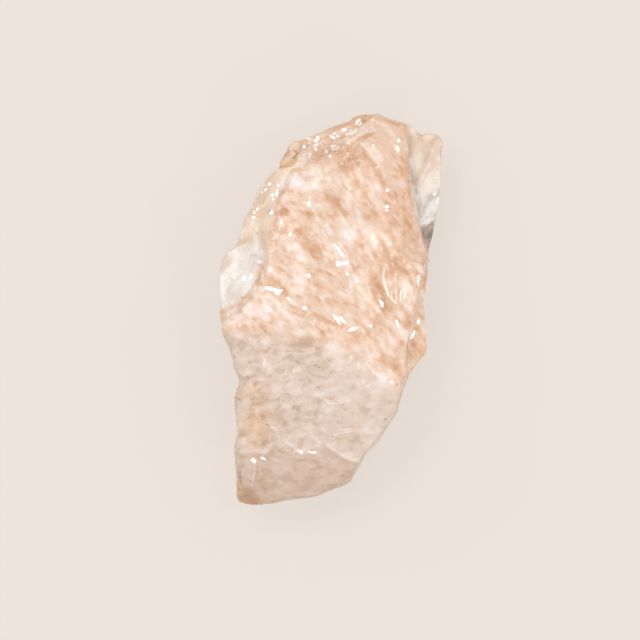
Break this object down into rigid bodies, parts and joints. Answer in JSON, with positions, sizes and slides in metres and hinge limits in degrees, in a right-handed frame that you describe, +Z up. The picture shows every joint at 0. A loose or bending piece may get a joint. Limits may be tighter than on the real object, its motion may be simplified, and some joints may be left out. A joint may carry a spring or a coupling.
{
  "type": "rough morganite",
  "caption": "Long chunk of rough pale peach crystal with broken faces, a chipped crest, clear shelves at its edges and a small flat spot underneath to lie on.",
  "frame": {"origin": "on the surface that the stone lies on, under the middle of its bounding box", "axes": "+X across the stone, +Y along it towards its blunt peak, +Z up from the flat spot"},
  "size_m": [0.0224, 0.0392, 0.0146],
  "materials": {
    "morganite": "pale peach translucent crystal with clouded flecks, glossy broken faces and frosted clear edges"
  },
  "bodies": {
    "root": {"morganite": "morganite"}
  },
  "joints": []
}
